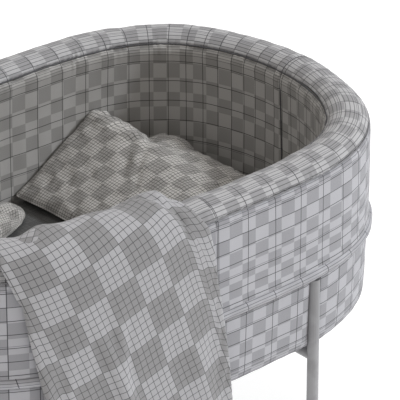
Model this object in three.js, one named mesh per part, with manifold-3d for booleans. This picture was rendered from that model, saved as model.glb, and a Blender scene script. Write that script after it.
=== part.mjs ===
// Oval padded baby crib: an upholstered basket on a steel tube under-frame,
// with a mattress, two pillows and a blanket that lift out.
// Units are millimetres, +Z is up, and the origin is on the floor under the middle of the basket.
// +X runs along the basket's length, and the blanket hangs over the wall on the -Y side.

import * as THREE from 'three';
import { mergeVertices } from 'three/addons/utils/BufferGeometryUtils.js';
import { ConvexGeometry } from 'three/addons/geometries/ConvexGeometry.js';
import Module from 'manifold-3d';

const wasm = await Module();
wasm.setup();

// ---- Driving dimensions -------------------------------------------------------------------

// The oval runs along the middle of the padded wall: |x / a| ^ power + (y / b) ^ 2 = 1.
const OVAL_HALF_LENGTH = 593;
const OVAL_HALF_WIDTH = 380;
const OVAL_POWER = 4.3;
const STATIONS = 60;

const GAP = 0.3;
const WALL_HALF = 50;
const CORE_HALF = 8;

const RIM_Z = 734;
const RIM_RISE = 44;
const OUTER_SEAM = 20;
const INNER_SEAM = 150;
const PIPING_R = 2;

const BASKET_Z = 350;
const COVER_THICK = 5.7;
const BOARD_THICK = 12;

const TUBE_R = 12.5;
const TUBE_BORE = 11;
const LEG_ANGLE = 79.1;
const LEG_OFFSET = 44;
const LEG_BASE_Z = 6.3;

const RING_R = 11;
const RING_BORE = 9.5;
const RING_Z = 527.2;
const SLEEVE_THICK = 2.2;
const STUD_R = 4.8;

const CROSS_Z = 331;
const BOLT_R = 3;
const BOLT_Y = 150;

const MATTRESS_OFFSET = -51;
const MATTRESS_TOP = 468;
const BLANKET_THICK = 8;
const BLANKET_FLAP = -75;
const BLANKET_LOFT = 20;
const BLANKET_FROM_X = -490;
const BLANKET_TO_X = 25;
const BLANKET_HEM_Z = 300;
const BLANKET_FLAP_Z = 600;

// ---- Places worked out from them ----------------------------------------------------------

const BOARD_Z = BASKET_Z + COVER_THICK + GAP;
const BOARD_TOP = BOARD_Z + BOARD_THICK;
const SLEEVE_R = RING_R + GAP + SLEEVE_THICK;
const BAND_TOP = RING_Z + SLEEVE_R;
const BAND_BOTTOM = RING_Z - SLEEVE_R;
const LEG_TOP = BAND_BOTTOM - 1;

const radians = THREE.MathUtils.degToRad;

// ---- The oval -----------------------------------------------------------------------------

class Oval extends THREE.Curve {
  getPoint(t) {
    const c = Math.cos(2 * Math.PI * t);
    const s = Math.sin(2 * Math.PI * t);
    const x = OVAL_HALF_LENGTH * Math.sign(c) * Math.abs(c) ** (2 / OVAL_POWER);
    return new THREE.Vector3(x, OVAL_HALF_WIDTH * s, 0);
  }
}

// The outward direction at a point of the oval, from the slope of its formula.
function outward(point) {
  const x = Math.abs(point.x / OVAL_HALF_LENGTH);
  const nx = (Math.sign(point.x) * OVAL_POWER * x ** (OVAL_POWER - 1)) / OVAL_HALF_LENGTH;
  const ny = (2 * point.y) / OVAL_HALF_WIDTH ** 2;
  return new THREE.Vector3(nx, ny, 0).normalize();
}

const oval = new Oval();
oval.arcLengthDivisions = 4000;

const stations = [];
for (let i = 0; i < STATIONS; i += 1) {
  const point = oval.getPointAt(i / STATIONS);
  stations.push({ point, normal: outward(point) });
}

// A point beside the oval: offset is positive outside it.
function beside(station, offset, z) {
  const place = station.point.clone().addScaledVector(station.normal, offset);
  place.z = z;
  return place;
}

// ---- Solids -------------------------------------------------------------------------------

// A ring that follows the oval. The section is a list of [offset, z], counter-clockwise
// with the offset to the right and z up. It is a lathed ring, bent onto the oval.
function ringSolid(section) {
  const closed = [...section, section[0]];
  const points = closed.map(([offset, z]) => new THREE.Vector2(OVAL_HALF_LENGTH + offset, z));
  const geometry = new THREE.LatheGeometry(points, STATIONS);
  const position = geometry.attributes.position;
  for (let i = 0; i < position.count; i += 1) {
    const station = stations[Math.floor(i / closed.length) % STATIONS];
    const [offset, z] = closed[i % closed.length];
    const place = beside(station, offset, z);
    position.setXYZ(i, place.x, place.y, place.z);
  }
  return geometry;
}

// A flat plate of the oval's shape, offset from the wall's middle line.
function plateSolid(offset, fromZ, toZ, bevel = 0) {
  const outline = stations.map((station) => {
    const place = beside(station, offset - bevel, 0);
    return new THREE.Vector2(place.x, place.y);
  });
  const geometry = new THREE.ExtrudeGeometry(new THREE.Shape(outline), {
    depth: toZ - fromZ - 2 * bevel,
    bevelEnabled: bevel > 0,
    bevelThickness: bevel,
    bevelSize: bevel,
    bevelSegments: 2,
  });
  return geometry.translate(0, 0, fromZ + bevel);
}

// A turned part about a vertical axis. The profile is a list of [radius, z], upwards outside.
function turned(profile, segments = 20) {
  const points = profile.map(([radius, z]) => new THREE.Vector2(radius, z));
  return new THREE.LatheGeometry(points, segments).rotateX(Math.PI / 2);
}

// A plain rod between two points.
function rod(from, to, radius, segments = 20) {
  const length = from.distanceTo(to);
  const geometry = new THREE.CylinderGeometry(radius, radius, length, segments);
  const direction = to.clone().sub(from).normalize();
  const turn = new THREE.Quaternion().setFromUnitVectors(new THREE.Vector3(0, 1, 0), direction);
  geometry.applyQuaternion(turn);
  const middle = from.clone().add(to).multiplyScalar(0.5);
  return geometry.translate(middle.x, middle.y, middle.z);
}

// An upright rod at a place seen from above.
function post(place, fromZ, toZ, radius, segments = 20) {
  const from = new THREE.Vector3(place.x, place.y, fromZ);
  const to = new THREE.Vector3(place.x, place.y, toZ);
  return rod(from, to, radius, segments);
}

function toManifold(geometry) {
  const bare = geometry.clone();
  bare.deleteAttribute('normal');
  bare.deleteAttribute('uv');
  const merged = mergeVertices(bare, 1e-3);
  return new wasm.Manifold(new wasm.Mesh({
    numProp: 3,
    vertProperties: new Float32Array(merged.attributes.position.array),
    triVerts: new Uint32Array(merged.index.array),
  }));
}

function toGeometry(manifold) {
  const mesh = manifold.getMesh();
  const geometry = new THREE.BufferGeometry();
  geometry.setAttribute('position', new THREE.BufferAttribute(mesh.vertProperties, 3));
  geometry.setIndex(new THREE.BufferAttribute(mesh.triVerts, 1));
  geometry.computeVertexNormals();
  return geometry;
}

// The body with every tool cut away from it.
function cut(body, tools) {
  let result = toManifold(body);
  for (const tool of tools) {
    result = result.subtract(toManifold(tool));
  }
  return toGeometry(result);
}

function common(body, tool) {
  return toGeometry(toManifold(body).intersect(toManifold(tool)));
}

// ---- Materials and the group ----------------------------------------------------------------

const crib = new THREE.Group();

const COLOURS = {
  upholstery: [0xb4b5b9, 0.9, 0],
  liner: [0xa5a4a2, 0.95, 0],
  piping: [0x55555a, 0.8, 0],
  sheet: [0x55555a, 0.95, 0],
  bedding: [0x9a9894, 0.95, 0],
  blanket: [0xc3c3c6, 0.95, 0],
  tube: [0x9b9ca1, 0.4, 0.7],
  board: [0xb99b6f, 0.7, 0],
  rubber: [0x2b2b2d, 0.9, 0],
  steel: [0x8d8f93, 0.35, 0.9],
};

function add(name, geometry, look) {
  const [color, roughness, metalness] = COLOURS[look];
  const material = new THREE.MeshStandardMaterial({ color, roughness, metalness });
  const mesh = new THREE.Mesh(geometry, material);
  mesh.name = name;
  crib.add(mesh);
}

// ---- Places of the legs and bolts -----------------------------------------------------------

const legs = [];
for (const [end, sideX] of [['left', -1], ['right', 1]]) {
  for (const [side, sideY] of [['front', -1], ['rear', 1]]) {
    const point = oval.getPoint(LEG_ANGLE / 360);
    const place = beside({ point, normal: outward(point) }, LEG_OFFSET, 0);
    legs.push({
      name: `${side}_${end}`,
      place: new THREE.Vector3(place.x * sideX, place.y * sideY, 0),
    });
  }
}
const LEG_X = Math.abs(legs[0].place.x);
const LEG_Y = Math.abs(legs[0].place.y);
const bolts = legs.map(({ name, place }) => ({
  name,
  place: new THREE.Vector3(place.x, Math.sign(place.y) * BOLT_Y, 0),
}));

// ---- Steel frame ----------------------------------------------------------------------------

function addLegs() {
  const tube = [[TUBE_BORE, LEG_BASE_Z], [TUBE_R, LEG_BASE_Z], [TUBE_R, LEG_TOP], [TUBE_BORE, LEG_TOP]];
  const plugR = TUBE_BORE - GAP;
  const footTop = LEG_BASE_Z - GAP;
  const foot = [[0, 0], [13.5, 0], [14.5, 1.5], [14.5, footTop], [plugR, footTop], [plugR, 26], [0, 26]];
  const plugZ = LEG_TOP - 15;
  const studTop = RING_Z - RING_BORE + 6;
  const stud = [[0, plugZ], [plugR, plugZ], [plugR, LEG_TOP], [STUD_R, LEG_TOP], [STUD_R, studTop], [0, studTop]];
  for (const { name, place } of legs) {
    const at = (geometry) => geometry.translate(place.x, place.y, 0);
    add(`leg_${name}`, at(turned([...tube, tube[0]])), 'tube');
    add(`foot_${name}`, at(turned(foot)), 'rubber');
    add(`leg_stud_${name}`, at(turned(stud, 12)), 'steel');
  }
}

function studHoles() {
  return legs.map(({ place }) => post(place, BAND_BOTTOM - 5, RING_Z, STUD_R + GAP, 12));
}

// The tube ring that the legs screw into, and the sewn sleeve around its outer half.
function addBand() {
  const sides = 8;
  const circle = (radius, from, to) => {
    const points = [];
    for (let i = from; i <= to; i += 1) {
      const angle = radians(-90 + (360 * i) / sides);
      points.push([LEG_OFFSET + radius * Math.cos(angle), RING_Z + radius * Math.sin(angle)]);
    }
    return points;
  };
  const outer = ringSolid(circle(RING_R, 0, sides - 1));
  const bore = ringSolid(circle(RING_BORE, 0, sides - 1));
  add('support_ring', cut(outer, [bore, ...studHoles()]), 'tube');
  const half = sides / 2;
  const section = [...circle(SLEEVE_R, 0, half), ...circle(RING_R + GAP, 0, half).reverse()];
  add('band_sleeve', cut(ringSolid(section), studHoles()), 'upholstery');
}

function addUnderframe() {
  const cope = TUBE_R + GAP;
  const boltHoles = bolts.map(({ place }) => post(place, CROSS_Z - 30, BOARD_TOP + 5, BOLT_R + 0.4, 12));
  const crossTools = [];
  for (const [end, side] of [['left', -1], ['right', 1]]) {
    const front = new THREE.Vector3(side * LEG_X, -LEG_Y, CROSS_Z);
    const rear = new THREE.Vector3(side * LEG_X, LEG_Y, CROSS_Z);
    const legTools = [front, rear].map((place) => post(place, CROSS_Z - 30, CROSS_Z + 30, cope));
    const bore = rod(front, rear, TUBE_BORE);
    add(`cross_tube_${end}`, cut(rod(front, rear, TUBE_R), [bore, ...legTools, ...boltHoles]), 'tube');
    crossTools.push(rod(front, rear, cope));
  }
  const left = new THREE.Vector3(-LEG_X, 0, CROSS_Z);
  const right = new THREE.Vector3(LEG_X, 0, CROSS_Z);
  add('long_tube', cut(rod(left, right, TUBE_R), [rod(left, right, TUBE_BORE), ...crossTools]), 'tube');

  const padBottom = CROSS_Z + TUBE_R + GAP;
  const nutZ = BOARD_TOP - 3.4;
  const headTop = CROSS_Z - TUBE_R - GAP;
  const nutTop = nutZ + 3;
  const bolt = [[0, headTop - 5], [6, headTop - 5], [6, headTop], [BOLT_R, headTop], [BOLT_R, nutTop], [0, nutTop]];
  const nut = [[BOLT_R + GAP, nutZ + GAP], [9, nutZ + GAP], [9, nutTop], [BOLT_R + GAP, nutTop]];
  for (const { name, place } of bolts) {
    const pad = post(place, padBottom, BASKET_Z - GAP, 18);
    add(`support_pad_${name}`, cut(pad, boltHoles), 'rubber');
    add(`frame_bolt_${name}`, turned(bolt, 12).translate(place.x, place.y, 0), 'steel');
    add(`tee_nut_${name}`, turned([...nut, nut[0]], 12).translate(place.x, place.y, 0), 'steel');
  }
  return boltHoles;
}

// ---- Basket ---------------------------------------------------------------------------------

function addBase(boltHoles) {
  const nutPockets = bolts.map(({ place }) => post(place, BOARD_TOP - 3.4, BOARD_TOP + 5, 9 + GAP, 12));
  const vents = [];
  for (const x of [-400, -200, 0, 200, 400]) {
    for (const y of [-165, 0, 165]) {
      vents.push(post(new THREE.Vector3(x, y, 0), BOARD_Z - 5, BOARD_TOP + 5, 20, 10));
    }
  }
  const board = plateSolid(CORE_HALF, BOARD_Z, BOARD_TOP);
  add('base_board', cut(board, [...boltHoles, ...nutPockets, ...vents]), 'board');
  add('bottom_cover', cut(plateSolid(CORE_HALF, BASKET_Z, BASKET_Z + COVER_THICK), boltHoles), 'liner');
}

// Points of the rounded rim, for angles in degrees from the outer side, up and over.
function rimArc(from, to, steps, grow = 0) {
  const points = [];
  for (let i = 0; i <= steps; i += 1) {
    const angle = radians(from + ((to - from) * i) / steps);
    points.push([(WALL_HALF + grow) * Math.cos(angle), RIM_Z + (RIM_RISE + grow) * Math.sin(angle)]);
  }
  return points;
}

function addWall() {
  const coreTop = RIM_Z + 17;
  const seamDrop = 0.5;
  const panelTop = RIM_Z + 17.6;
  const face = CORE_HALF + GAP;
  const wallZ = BOARD_TOP + GAP;
  add('wall_core', ringSolid([
    [-CORE_HALF, wallZ], [CORE_HALF, wallZ], [CORE_HALF, coreTop], [-CORE_HALF, coreTop],
  ]), 'board');
  add('rim_bolster', ringSolid(rimArc(OUTER_SEAM, INNER_SEAM, 7)), 'upholstery');
  add('outer_upper_panel', ringSolid([
    [face, BAND_TOP + GAP], [WALL_HALF, BAND_TOP + GAP],
    ...rimArc(0, OUTER_SEAM - 2 * seamDrop, 2), [face, panelTop - seamDrop],
  ]), 'upholstery');
  add('inner_liner', ringSolid([
    [-46.5, wallZ], [-face, wallZ], [-face, panelTop + seamDrop],
    ...rimArc(INNER_SEAM + 2 * seamDrop, 180, 3), [-47.5, RIM_Z - 90],
  ]), 'liner');
  const lowerPanel = ringSolid([
    [face, BASKET_Z], [26, BASKET_Z], [34, BASKET_Z + 3], [39.5, BASKET_Z + 12], [41.5, BASKET_Z + 30],
    [44, BASKET_Z + 90], [46.5, BAND_BOTTOM - GAP], [face, BAND_BOTTOM - GAP],
  ]);
  const grooves = legs.map(({ place }) => post(place, BASKET_Z - 10, BAND_TOP, TUBE_R + GAP));
  add('outer_lower_panel', cut(lowerPanel, grooves), 'upholstery');
}

// A cord on the outside of the rim, along a seam.
function addPiping(name, seam) {
  const [[offset, z]] = rimArc(seam, seam, 1, PIPING_R + GAP);
  const section = [];
  const sides = 5;
  for (let i = 0; i < sides; i += 1) {
    const angle = radians((360 * i) / sides);
    section.push([offset + PIPING_R * Math.cos(angle), z + PIPING_R * Math.sin(angle)]);
  }
  add(name, ringSolid(section), 'piping');
}

// ---- Bedding --------------------------------------------------------------------------------

// A plain closed lump around the given corners, kept inside the basket.
function lump(corners) {
  const body = new ConvexGeometry(corners.map(([x, y, z]) => new THREE.Vector3(x, y, z)));
  return common(body, plateSolid(MATTRESS_OFFSET - 3, MATTRESS_TOP + GAP, RIM_Z));
}

function addBedding() {
  const mattress = plateSolid(MATTRESS_OFFSET, BOARD_TOP + GAP, MATTRESS_TOP, 14);
  add('mattress', mattress, 'sheet');
  add('pillow_large', lump([
    [92, 330, 460], [92, 110, 460], [240, -90, 460], [470, -110, 460], [560, 40, 460], [540, 220, 460],
    [280, 330, 612], [330, 290, 612], [360, 120, 560], [440, 250, 556], [500, 60, 520], [92, 330, 485],
  ]), 'bedding');
  add('pillow_small', lump([
    [82, 262, 460], [-40, 330, 460], [-270, 200, 460], [-230, 40, 460], [-60, 60, 460], [20, 120, 460],
    [-60, 240, 525], [-190, 170, 525], [-120, 90, 525], [30, 240, 492],
  ]), 'bedding');
}

// The blanket lies over the rim with air under it: loose flap inside, long drop outside.
function addBlanket() {
  const drop = LEG_OFFSET + SLEEVE_R + 0.8;
  const middle = (BLANKET_FLAP + drop) / 2;
  const reach = (drop - BLANKET_FLAP) / 2;
  const arc = (grow, from, to) => {
    const points = [];
    const steps = 6;
    for (let i = 0; i <= steps; i += 1) {
      const angle = radians(from + ((to - from) * i) / steps);
      const rise = RIM_RISE + BLANKET_LOFT + grow;
      points.push([middle + (reach + grow) * Math.cos(angle), RIM_Z + rise * Math.sin(angle)]);
    }
    return points;
  };
  const section = [
    [drop, BLANKET_HEM_Z], [drop + BLANKET_THICK, BLANKET_HEM_Z],
    ...arc(BLANKET_THICK, 0, 180),
    [BLANKET_FLAP - BLANKET_THICK, BLANKET_FLAP_Z], [BLANKET_FLAP, BLANKET_FLAP_Z],
    ...arc(0, 180, 0),
  ];
  const width = BLANKET_TO_X - BLANKET_FROM_X;
  const slab = new THREE.BoxGeometry(width, 400, 700);
  slab.translate(BLANKET_FROM_X + width / 2, -400, 550);
  add('blanket', common(ringSolid(section), slab), 'blanket');
}

// ---- The crib -------------------------------------------------------------------------------

addLegs();
addBand();
addBase(addUnderframe());
addWall();
addPiping('rim_piping_outer', OUTER_SEAM);
addPiping('rim_piping_inner', INNER_SEAM);
addBedding();
addBlanket();

export default crib;
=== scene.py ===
"""The baby crib's looks: fabric, seams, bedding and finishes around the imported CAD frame.

Lengths are in metres. A place on the padded wall is given by s, the distance along the wall's middle
line, counter-clockwise from the +X end, by u, the distance outwards from that line, and by its height z.
"""

import math
from functools import partialmethod

import bmesh
import bpy
import numpy as np
from mathutils import Matrix, Vector


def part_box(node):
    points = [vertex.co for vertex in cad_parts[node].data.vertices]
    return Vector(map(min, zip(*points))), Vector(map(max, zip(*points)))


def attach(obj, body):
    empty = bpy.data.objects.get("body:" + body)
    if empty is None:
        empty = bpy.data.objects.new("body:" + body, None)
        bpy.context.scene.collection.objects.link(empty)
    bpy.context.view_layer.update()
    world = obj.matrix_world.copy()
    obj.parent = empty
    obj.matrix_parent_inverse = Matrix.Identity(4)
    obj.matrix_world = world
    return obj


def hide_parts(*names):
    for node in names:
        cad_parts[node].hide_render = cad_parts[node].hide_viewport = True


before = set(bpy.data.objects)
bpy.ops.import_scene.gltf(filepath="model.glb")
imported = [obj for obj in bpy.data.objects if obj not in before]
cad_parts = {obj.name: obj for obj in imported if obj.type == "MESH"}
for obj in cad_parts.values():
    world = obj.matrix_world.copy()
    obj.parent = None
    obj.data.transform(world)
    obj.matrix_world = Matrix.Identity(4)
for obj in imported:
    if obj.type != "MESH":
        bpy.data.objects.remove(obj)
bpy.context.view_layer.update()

# ---- Driving dimensions -------------------------------------------------------------------------

# The oval along the middle of the wall: |x / HALF_LENGTH| ^ POWER + (y / HALF_WIDTH) ^ 2 = 1.
HALF_LENGTH = 0.593
HALF_WIDTH = 0.380
POWER = 4.3

WALL_HALF = 0.050
RIM_Z = 0.734
RIM_RISE = 0.044
OUTER_SEAM = 20  # degrees round the rim, from straight outwards
INNER_SEAM = 150
SEAM_TOP = 0.762  # where the end seams stop leaning
BASKET_Z = 0.350
BOARD_TOP = 0.368
BAND_Z = 0.5272
BAND_U = 0.044
BAND_R = 0.0135
RING_R = 0.0112
CORD_R = 0.0016
COVER_THICK = 0.006
LEG_R = 0.0125
MATTRESS_U = -0.051
MATTRESS_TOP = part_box("mattress")[1][2]

CHECK = 0.03525  # one check of the wall fabric
BLANKET_CELL = 0.0158  # between two threads of the blanket's windowpane; five make a check
WALL_WEAVE = 0.0022  # between two threads of the wall fabric
TUCK_DEPTH = 0.0035  # how far a panel's edge is drawn in at its seam
TUCK_WIDTH = 0.0048  # and how far from the seam that starts
PILLOW_CRUMPLE = 0.00088  # the height of each of a pillow's small folds
PILLOW_GAP = 0.0022  # the least between a pillow and the mattress
PILLOW_DIP = 0.0030  # the same before a pillow is puffed up
LINE_SOFT = 0.0004  # how softly a printed line ends

# ---- The oval -----------------------------------------------------------------------------------


def walk_oval(samples=20000):
    """The distance run and the place, once round the oval."""
    turn = np.linspace(0, 2 * math.pi, samples + 1)
    x = HALF_LENGTH * np.sign(np.cos(turn)) * np.abs(np.cos(turn)) ** (2 / POWER)
    y = HALF_WIDTH * np.sin(turn)
    run = np.concatenate([[0], np.cumsum(np.hypot(np.diff(x), np.diff(y)))])
    return run, x, y


RUN, OVAL_X, OVAL_Y = walk_oval()
ROUND = RUN[-1]


def wall_point(s, u, z):
    """The place at s, u, z. Each may be an array, and they broadcast."""
    s, u, z = np.broadcast_arrays(s, u, z)
    along = np.mod(s, ROUND)
    x = np.interp(along, RUN, OVAL_X)
    y = np.interp(along, RUN, OVAL_Y)
    nx = np.sign(x) * POWER * np.abs(x / HALF_LENGTH) ** (POWER - 1) / HALF_LENGTH
    ny = 2 * y / HALF_WIDTH**2
    size = np.hypot(nx, ny)
    return np.stack([x + u * nx / size, y + u * ny / size, z], axis=-1)


def end_seam_s(z):
    """How far an end seam is from s = 0, or from half way round: it leans a little."""
    return -0.0190 - 0.0415 * (SEAM_TOP - z)


def from_end(s, z=SEAM_TOP):
    """The distance to the nearer end seam."""
    half = ROUND / 2
    return half / 2 - np.abs(np.mod(s - end_seam_s(z), half) - half / 2)


def leg_stations():
    """Where along the wall each leg stands."""
    places = wall_point(RUN, BAND_U, 0.0)
    found = []
    for leg in ("front_left", "front_right", "rear_left", "rear_right"):
        low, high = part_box(f"leg_{leg}")
        away = np.hypot(places[:, 0] - (low[0] + high[0]) / 2, places[:, 1] - (low[1] + high[1]) / 2)
        found.append(RUN[np.argmin(away)])
    return found


LEG_S = leg_stations()


def ring_stations(step=0.0046, fine=0.0012):
    """Where the rings have a section: evenly spaced, closer together at the end seams and legs."""
    marks = list(np.linspace(0, ROUND, round(ROUND / step), endpoint=False))
    ends = [(half + end_seam_s(0.60), 0.020) for half in (0, ROUND / 2)]
    for middle, span in ends + [(s, 0.022) for s in LEG_S]:
        marks += list(np.mod(middle + np.arange(-span, span + fine / 2, fine), ROUND))
    marks = sorted(marks)
    kept = [marks[0]]
    for mark in marks[1:]:
        if mark - kept[-1] > 0.4 * fine:
            kept.append(mark)
    return np.array(kept)


STATIONS = ring_stations()


def waves(s, v, length, seed, lean=0.35):
    """Smooth ups and downs of about -1 to 1, which close on themselves once round the oval."""
    dice = np.random.RandomState(seed)
    count = 10
    total = 0
    for _ in range(count):
        turns = round(ROUND / (length * dice.uniform(0.7, 1.5)))
        slope = dice.uniform(-lean, lean) * 2 * math.pi / length
        total = total + np.sin(2 * math.pi * turns * s / ROUND + slope * v + dice.uniform(0, 6.28))
    return total / math.sqrt(count)


# ---- Meshes -------------------------------------------------------------------------------------


def add_object(name, data):
    thing = bpy.data.objects.new(name, data)
    bpy.context.scene.collection.objects.link(thing)
    return thing


def make_piece(name, points, faces, cloth=None, body=None, material=None, slot=None, node=None):
    """A smooth mesh object, which rides on a body and may stand in for a CAD node.

    cloth holds each face corner's place on the flat fabric, in metres.
    """
    mesh = bpy.data.meshes.new(name)
    faces = faces if isinstance(faces, list) else faces.tolist()
    mesh.from_pydata(points.reshape(-1, 3).tolist(), [], faces)
    if cloth is not None:
        layer = mesh.uv_layers.new(name="cloth")
        layer.data.foreach_set("uv", np.asarray(cloth, dtype=np.float32).ravel())
    mesh.polygons.foreach_set("use_smooth", [True] * len(mesh.polygons))
    mesh.update()
    piece = add_object(name, mesh)
    if body is not None:
        mesh.materials.append(material)
        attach(piece, body)
    if node is not None:
        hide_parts(node)
    return piece


def grid(rows, columns, wrap_rows=False, wrap_columns=False):
    """Quads over a grid of points, and each quad's corners as unwrapped rows and columns."""
    row_count = rows if wrap_rows else rows - 1
    column_count = columns if wrap_columns else columns - 1
    i, j = np.meshgrid(np.arange(row_count), np.arange(column_count), indexing="ij")
    corner_rows = np.stack([i, i + 1, i + 1, i], axis=-1).reshape(-1, 4)
    corner_columns = np.stack([j, j, j + 1, j + 1], axis=-1).reshape(-1, 4)
    faces = (corner_rows % rows) * columns + corner_columns % columns
    return faces, corner_rows, corner_columns


def catmull_rom(a, b, c, d, t):
    """The place at t, 0 to 1, between b and c on a smooth line through all four."""
    bend = (2 * a - 5 * b + 4 * c - d) * t**2
    return 0.5 * (2 * b + (c - a) * t + bend + (3 * b - a - 3 * c + d) * t**3)


def with_ends(points):
    """The points, with one more beyond each end."""
    points = np.asarray(points, float)
    return np.vstack([2 * points[0] - points[1], points, 2 * points[-1] - points[-2]])


def smooth_line(points, step=0.004):
    """A smooth line through the points, with a point about every step."""
    ends = with_ends(points)
    line = [ends[1]]
    for a, b, c, d in zip(ends, ends[1:], ends[2:], ends[3:]):
        count = max(1, round(np.linalg.norm(c - b) / step))
        line += [catmull_rom(a, b, c, d, k / count) for k in range(1, count + 1)]
    return np.array(line)


def rim_point(degrees, grow=0.0):
    angle = np.radians(degrees)
    u = (WALL_HALF + grow) * np.cos(angle)
    return np.stack([u, RIM_Z + (RIM_RISE + grow) * np.sin(angle)], axis=-1)


def unit(vectors):
    return vectors / np.linalg.norm(vectors, axis=-1, keepdims=True)


def run_along(line):
    """The distance from a line's first point to each of its points."""
    return np.append(0, np.cumsum(np.linalg.norm(np.diff(line, axis=0), axis=1)))


def line_normals(line):
    """Unit normals of a line of [u, z] points, to the right of its direction."""
    slope = np.gradient(line, axis=0)
    return unit(np.stack([slope[:, 1], -slope[:, 0]], axis=-1))


def ring(name, node, face, back, swell, v_from, material, slot="outer_fabric", carve=None):
    """A closed ring of padding round the oval, in the place of a CAD node.

    face and back are lines of [u, z] points that make one counter-clockwise section. swell(s, v) moves
    the face's points out along its normals, and carve(s, u) gives them new u afterwards.
    """
    section = np.vstack([face, back])
    s = STATIONS[:, None]
    moved = np.repeat(section[None], len(STATIONS), axis=0)
    front = moved[:, : len(face)]
    front += swell(s, run_along(face)[None])[..., None] * line_normals(face)
    if carve is not None:
        front[..., 0] = carve(s, front[..., 0])
    points = wall_point(s, moved[..., 0], moved[..., 1])
    faces, rows, columns = grid(len(STATIONS), len(section), True, True)
    run = run_along(np.vstack([section, section[:1]]))
    cloth = np.stack([np.append(STATIONS, ROUND)[rows], v_from + run[columns]], axis=-1)
    return make_piece(name, points, faces, cloth, "crib", material, slot, node)


# ---- Materials ----------------------------------------------------------------------------------


class Field:
    """A value in a material's nodes, which can be reckoned with like a number."""

    def __init__(self, socket):
        self.socket = socket
        self.tree = socket.id_data

    def reckon(self, operation, *others):
        sockets = dict(enumerate((self, *others)))
        node = add_node(self.tree, "ShaderNodeMath", sockets, operation=operation)
        return Field(node.outputs[0])

    __add__ = partialmethod(reckon, "ADD")
    __sub__ = partialmethod(reckon, "SUBTRACT")
    __mul__ = partialmethod(reckon, "MULTIPLY")
    __truediv__ = partialmethod(reckon, "DIVIDE")
    mod = partialmethod(reckon, "FLOORED_MODULO")
    absolute = partialmethod(reckon, "ABSOLUTE")
    sine = partialmethod(reckon, "SINE")

    def step_down(self, near, far):
        """1 below near, 0 above far, and smooth between them."""
        sockets = {"Value": self, "From Min": near, "From Max": far, "To Min": 1.0, "To Max": 0.0}
        node = add_node(self.tree, "ShaderNodeMapRange", sockets, interpolation_type="SMOOTHSTEP")
        return Field(node.outputs["Result"])


def feed(value, socket):
    """Sets a node's socket to a Field, a number, a vector or a colour."""
    if isinstance(value, Field):
        socket.id_data.links.new(value.socket, socket)
    else:
        socket.default_value = (*value, 1.0) if socket.type == "RGBA" else value


def add_node(tree, kind, sockets, **settings):
    node = tree.nodes.new(kind)
    for name, value in settings.items():
        setattr(node, name, value)
    for name, value in sockets.items():
        feed(value, node.inputs[name])
    return node


def mix(factor, first, second):
    """A colour between two, each a tuple or a Field."""
    node = add_node(factor.tree, "ShaderNodeMix", {"Factor": factor}, data_type="RGBA")
    for value, socket in zip((first, second), [i for i in node.inputs if i.type == "RGBA"]):
        feed(value, socket)
    return Field(next(o for o in node.outputs if o.type == "RGBA"))


def shade(colour, factor):
    """A colour multiplied by a Field."""
    sockets = {0: colour, "Scale": factor}
    return Field(add_node(colour.tree, "ShaderNodeVectorMath", sockets, operation="SCALE").outputs[0])


def noise(tree, scale, detail=3.0, stretch=(1, 1, 1)):
    """Object-space noise around 0.5."""
    place = Field(tree.nodes.new("ShaderNodeTexCoord").outputs["Object"])
    mapping = add_node(tree, "ShaderNodeMapping", {"Vector": place, "Scale": stretch})
    sockets = {"Vector": Field(mapping.outputs["Vector"]), "Scale": scale, "Detail": detail}
    return Field(add_node(tree, "ShaderNodeTexNoise", sockets).outputs[0])


def cloth_place(tree):
    """Where a point lies on the flat fabric, in metres."""
    uv = add_node(tree, "ShaderNodeUVMap", {}, uv_map="cloth")
    split = add_node(tree, "ShaderNodeSeparateXYZ", {"Vector": Field(uv.outputs["UV"])})
    return Field(split.outputs["X"]), Field(split.outputs["Y"])


def new_material(name, roughness, metallic=0.0, sheen=0.0, specular=0.5):
    material = bpy.data.materials.new(name)
    material.use_nodes = True
    shader = next(n for n in material.node_tree.nodes if n.type == "BSDF_PRINCIPLED")
    feed(roughness, shader.inputs["Roughness"])
    feed(metallic, shader.inputs["Metallic"])
    feed(sheen, shader.inputs["Sheen Weight"])
    feed(0.6, shader.inputs["Sheen Roughness"])
    feed(specular, shader.inputs["Specular IOR Level"])
    return material, material.node_tree, shader


def bump(shader, height, distance, strength=1.0):
    sockets = {"Strength": strength, "Distance": distance, "Height": height}
    node = add_node(height.tree, "ShaderNodeBump", sockets)
    feed(Field(node.outputs["Normal"]), shader.inputs["Normal"])


def checks(x, y, cell, x_from=0.0):
    """1 on one set of squares and 0 on the other."""
    sockets = {"X": x + (8 * cell - x_from), "Y": y + 8 * cell, "Z": cell / 2}
    place = Field(add_node(x.tree, "ShaderNodeCombineXYZ", sockets).outputs["Vector"])
    node = add_node(x.tree, "ShaderNodeTexChecker", {"Vector": place, "Scale": 1 / cell})
    return Field(node.outputs[1])


def stripe(place, pitch, width, start=0.0):
    """1 on a thin line every pitch, and 0 between them."""
    away = (place - (start - pitch / 2)).mod(pitch) - pitch / 2
    return away.absolute().step_down(width / 2, width / 2 + LINE_SOFT)


def edge_lines(v, first, last, pitch, width=0.0010):
    """A few close pinstripes beside a seam, from one place to another."""
    reach = (last - first + pitch) / 2
    near = (v - (first + last) / 2).absolute().step_down(reach - LINE_SOFT, reach)
    return stripe(v, pitch, width, first) * near


# The wall fabric's upright pinstripes spread out from each end seam, by this many per e-fold
# of the distance from a point STRIPE_START behind the seam.
STRIPE_COUNT = 15.73
STRIPE_START = 0.465


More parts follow.
